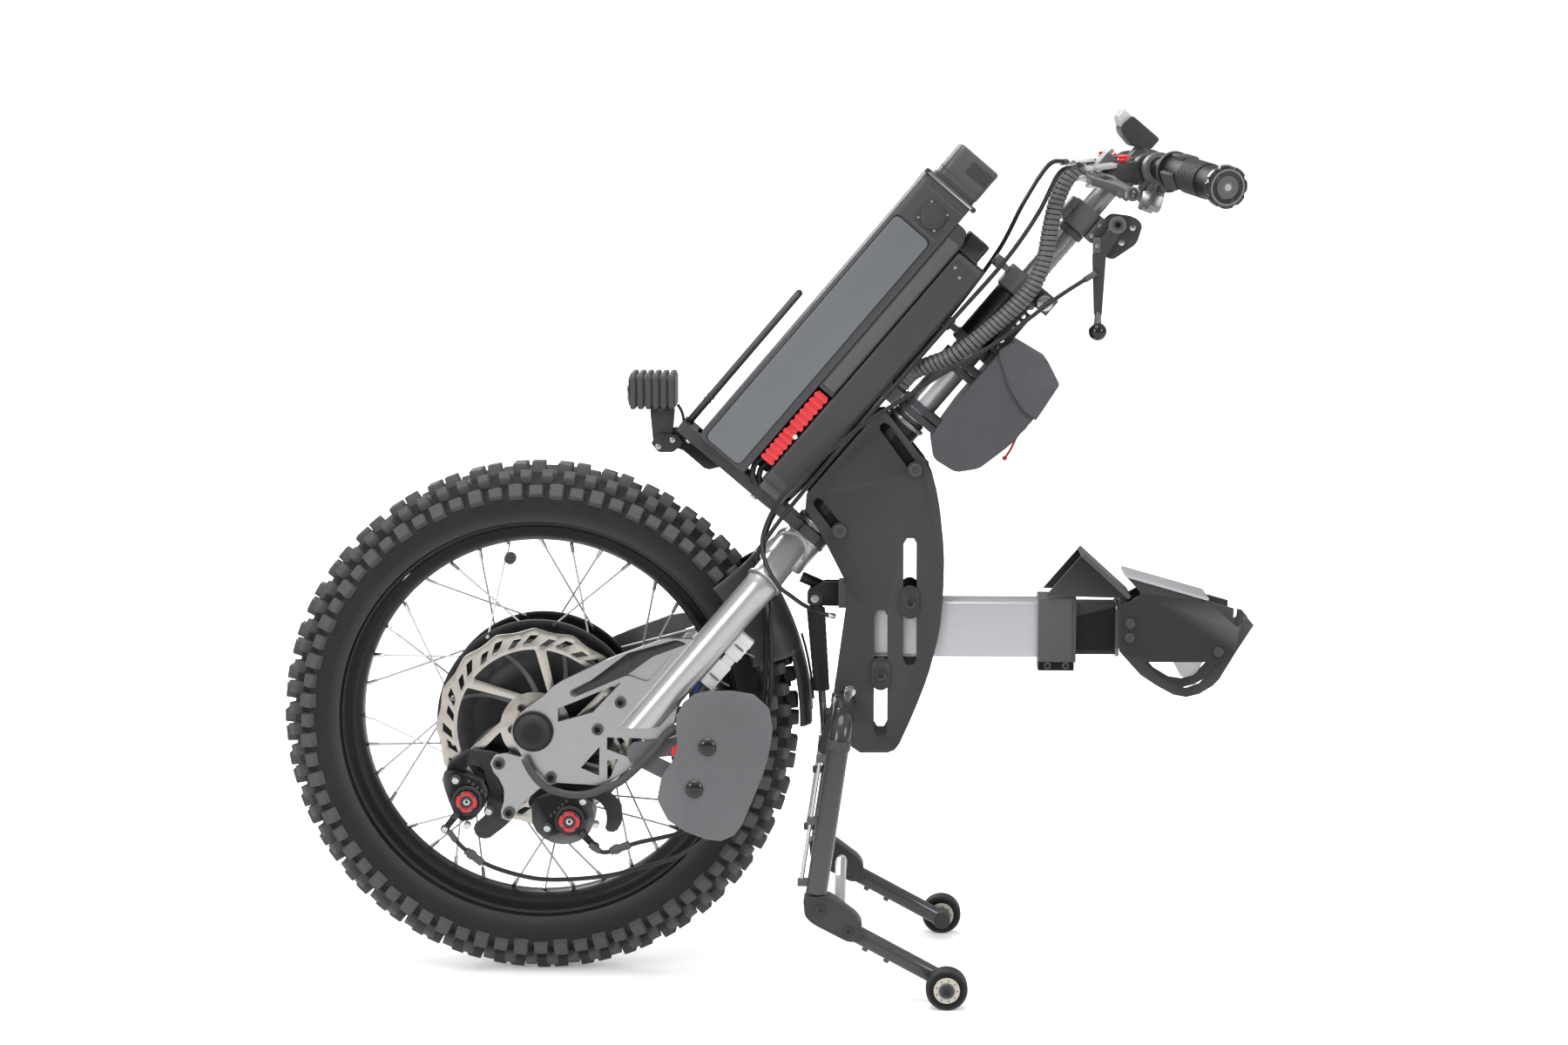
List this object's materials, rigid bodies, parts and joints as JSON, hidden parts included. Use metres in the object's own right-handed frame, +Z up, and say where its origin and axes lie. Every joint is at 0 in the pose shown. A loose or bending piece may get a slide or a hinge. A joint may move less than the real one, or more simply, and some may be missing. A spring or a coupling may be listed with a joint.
{
  "type": "handcycle",
  "caption": "Powered handcycle front unit: motor wheel in a fork, battery and handlebar on the steering column, and a docking frame with coupler arm and roller stand.",
  "frame": {"origin": "centre of the footprint on the ground, midway between the tyre's front and the coupler's rear", "axes": "+X towards the wheelchair (the rear), +Y towards the side without the brake disc, +Z up"},
  "size_m": [1.0208, 0.6134, 0.9088],
  "materials": {
    "tyre": "matt ribbed rubber",
    "rubber": "soft matt",
    "black_metal": "satin powder coat",
    "graphite_metal": "fine matt powder coat",
    "silver_paint": "satin clear coat",
    "silver_metal": "machined and brushed",
    "steel": "brushed",
    "black_plastic": "satin moulding",
    "grey_plastic": "grainy",
    "red_plastic": "glossy",
    "cable": "smooth sheath",
    "fabric": "woven nylon"
  },
  "bodies": {
    "dock_frame": {"head_tube": "black_metal", "side_plate_near": "graphite_metal", "side_plate_far": "graphite_metal", "strut_bracket": "black_metal"},
    "arm_carriage": {"arm_outer_tube": "silver_metal", "arm_band_clamp": "black_metal"},
    "arm_slider": {"arm_inner_tube": "black_metal", "coupler_cheek_near": "graphite_metal", "coupler_cheek_far": "graphite_metal", "guide_wedge": "black_metal", "roof_plate": "steel"},
    "latch": {"coupler_latch": "steel"},
    "fork_assembly": {"fork": "silver_paint", "dropout_near": "silver_metal", "dropout_far": "silver_metal", "axle": "black_metal", "mudguard": "black_plastic", "side_cover_near": "grey_plastic", "side_cover_far": "grey_plastic", "caliper_carrier": "silver_metal", "caliper_left": "black_metal", "caliper_right": "black_metal", "rack": "black_metal", "controller": "graphite_metal", "power_plug": "red_plastic", "lower_column": "silver_metal", "column_clamp": "black_metal", "pouch": "fabric", "brake_cable_left": "cable", "brake_cable_right": "cable", "release_cable": "cable", "motor_cable": "cable", "cable_hose": "cable"},
    "wheel": {"tyre": "tyre", "rim": "black_metal", "hub_motor": "black_metal", "brake_rotor": "steel"},
    "caliper_arm_left": {"caliper_arm_left": "black_metal"},
    "caliper_arm_right": {"caliper_arm_right": "black_metal"},
    "lamp_head": {"lamp": "black_metal"},
    "battery_pack": {"battery": "black_plastic"},
    "column_upper": {"upper_column": "graphite_metal", "handlebar": "black_metal", "display": "black_plastic", "grip_near": "rubber", "grip_far": "rubber"},
    "brake_lever_near": {"brake_lever_near": "graphite_metal"},
    "brake_lever_far": {"brake_lever_far": "graphite_metal"},
    "lock_button_near": {"lock_button_near": "red_plastic"},
    "lock_button_far": {"lock_button_far": "red_plastic"},
    "throttle": {"throttle": "grey_plastic"},
    "release_lever": {"release_lever": "black_metal"},
    "stand": {"stand_tube": "black_metal", "stand_brace": "silver_metal", "stand_foot_near": "black_metal", "stand_foot_far": "black_metal"},
    "roller_near": {"stand_roller_near": "rubber"},
    "roller_far": {"stand_roller_far": "rubber"},
    "strut_body": {"strut_body": "fabric"},
    "strut_rod": {"strut_rod": "steel"}
  },
  "joints": [
    {"name": "steering", "type": "hinge", "parent": "dock_frame", "child": "fork_assembly", "pos_m": [0.0518, 0, 0.47642], "axis": [0.6494, 0, 0.7604], "range_deg": [-25, 25]},
    {"name": "wheel_spin", "type": "hinge", "parent": "fork_assembly", "child": "wheel", "pos_m": [-0.2374, 0, 0.273], "axis": [0, 1, 0], "continuous": true},
    {"name": "lamp_tilt", "type": "hinge", "parent": "fork_assembly", "child": "lamp_head", "pos_m": [-0.1074, 0, 0.569], "axis": [0, 1, 0], "range_deg": [-15, 15]},
    {"name": "battery_lift", "type": "slide", "parent": "fork_assembly", "child": "battery_pack", "axis": [0.6494, 0, 0.7604], "range_m": [0, 0.15]},
    {"name": "column_height", "type": "slide", "parent": "fork_assembly", "child": "column_upper", "axis": [0.6494, 0, 0.7604], "range_m": [0, 0.05]},
    {"name": "brake_lever_near_pull", "type": "hinge", "parent": "column_upper", "child": "brake_lever_near", "pos_m": [0.33001, -0.14654, 0.84588], "axis": [-0.0723, -0.1451, 0.9868], "range_deg": [0, 16], "stiffness_Nm_per_rad": 2, "springref_deg": -17.19},
    {"name": "brake_lever_far_pull", "type": "hinge", "parent": "column_upper", "child": "brake_lever_far", "pos_m": [0.33001, 0.14654, 0.84588], "axis": [0.0723, -0.1451, -0.9868], "range_deg": [0, 16], "stiffness_Nm_per_rad": 2, "springref_deg": -17.19},
    {"name": "lock_button_near_press", "type": "slide", "parent": "column_upper", "child": "lock_button_near", "axis": [0.0723, 0.1451, -0.9868], "range_m": [0, 0.0015], "stiffness_N_per_m": 300, "springref_m": -0.003},
    {"name": "lock_button_far_press", "type": "slide", "parent": "column_upper", "child": "lock_button_far", "axis": [0.0723, -0.1451, -0.9868], "range_m": [0, 0.0015], "stiffness_N_per_m": 300, "springref_m": -0.003},
    {"name": "throttle_push", "type": "hinge", "parent": "column_upper", "child": "throttle", "pos_m": [0.39287, -0.152, 0.85365], "axis": [-0.3273, 0.944, -0.0409], "range_deg": [0, 20], "stiffness_Nm_per_rad": 0.4, "springref_deg": -22.92},
    {"name": "release_pull", "type": "hinge", "parent": "column_upper", "child": "release_lever", "pos_m": [0.36373, -0.021, 0.7939], "axis": [0, -1, 0], "range_deg": [0, 30], "stiffness_Nm_per_rad": 0.8, "springref_deg": -22.92},
    {"name": "caliper_arm_left_turn", "type": "hinge", "parent": "fork_assembly", "child": "caliper_arm_left", "pos_m": [-0.3074, -0.0823, 0.198], "axis": [0, -1, 0], "range_deg": [0, 20]},
    {"name": "caliper_arm_right_turn", "type": "hinge", "parent": "fork_assembly", "child": "caliper_arm_right", "pos_m": [-0.2004, -0.0823, 0.178], "axis": [0, -1, 0], "range_deg": [0, 20]},
    {"name": "arm_height", "type": "slide", "parent": "dock_frame", "child": "arm_carriage", "axis": [0, 0, 1], "range_m": [-0.06, 0.05]},
    {"name": "arm_length", "type": "slide", "parent": "arm_carriage", "child": "arm_slider", "axis": [1, 0, 0], "range_m": [-0.04, 0.1]},
    {"name": "latch_swing", "type": "hinge", "parent": "arm_slider", "child": "latch", "pos_m": [0.47415, 0, 0.35068], "axis": [0, -1, 0], "range_deg": [0, 8]},
    {"name": "stand_fold", "type": "hinge", "parent": "dock_frame", "child": "stand", "pos_m": [0.0836, 0, 0.294], "axis": [0, -1, 0], "range_deg": [0, 50]},
    {"name": "strut_swing", "type": "hinge", "parent": "dock_frame", "child": "strut_body", "pos_m": [0.0526, 0, 0.402], "axis": [0, -1, 0], "range_deg": [0, 15.5]},
    {"name": "strut_extend", "type": "slide", "parent": "strut_body", "child": "strut_rod", "axis": [0.0717, 0, -0.9974], "range_m": [0, 0.009]},
    {"name": "roller_near_spin", "type": "hinge", "parent": "stand", "child": "roller_near", "pos_m": [0.1908, -0.1505, 0.0215], "axis": [0, 1, 0], "continuous": true},
    {"name": "roller_far_spin", "type": "hinge", "parent": "stand", "child": "roller_far", "pos_m": [0.1908, 0.1505, 0.0215], "axis": [0, 1, 0], "continuous": true}
  ],
  "couplings": [
    {"joint": "caliper_arm_left_turn", "follows": "brake_lever_near_pull", "ratio": 1.2},
    {"joint": "caliper_arm_right_turn", "follows": "brake_lever_far_pull", "ratio": 1.2},
    {"joint": "latch_swing", "follows": "release_pull", "ratio": 0.2666},
    {"joint": "strut_swing", "follows": "stand_fold", "ratio": 0.299},
    {"joint": "strut_extend", "follows": "stand_fold", "m_per_rad": 0.00873}
  ]
}
